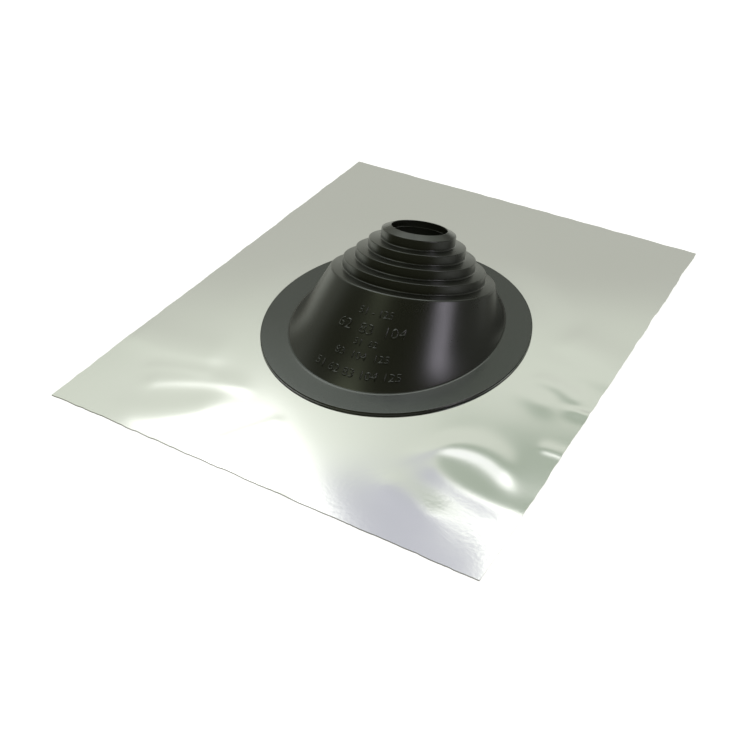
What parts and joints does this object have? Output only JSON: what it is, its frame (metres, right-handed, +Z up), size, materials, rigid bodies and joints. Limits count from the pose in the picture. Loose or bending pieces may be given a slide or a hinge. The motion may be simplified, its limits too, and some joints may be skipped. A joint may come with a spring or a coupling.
{
  "type": "pipe flashing boot",
  "caption": "Stepped rubber boot on a soft aluminium base sheet, seals a pipe that passes through a sloping roof.",
  "frame": {"origin": "centre of the base sheet's underside, which is the surface that lies on the roof", "axes": "+Z up from the roof surface, +Y up the slope along the sheet's long side, the way the stepped cone leans, +X along the sheet's short side"},
  "size_m": [0.4, 0.5, 0.0895],
  "materials": {
    "soft_aluminium": "bright dead-soft mill finish, slightly wavy",
    "black_rubber": "satin moulded EPDM"
  },
  "bodies": {
    "root": {"base_sheet": "soft_aluminium", "rubber_boot": "black_rubber"}
  },
  "joints": []
}
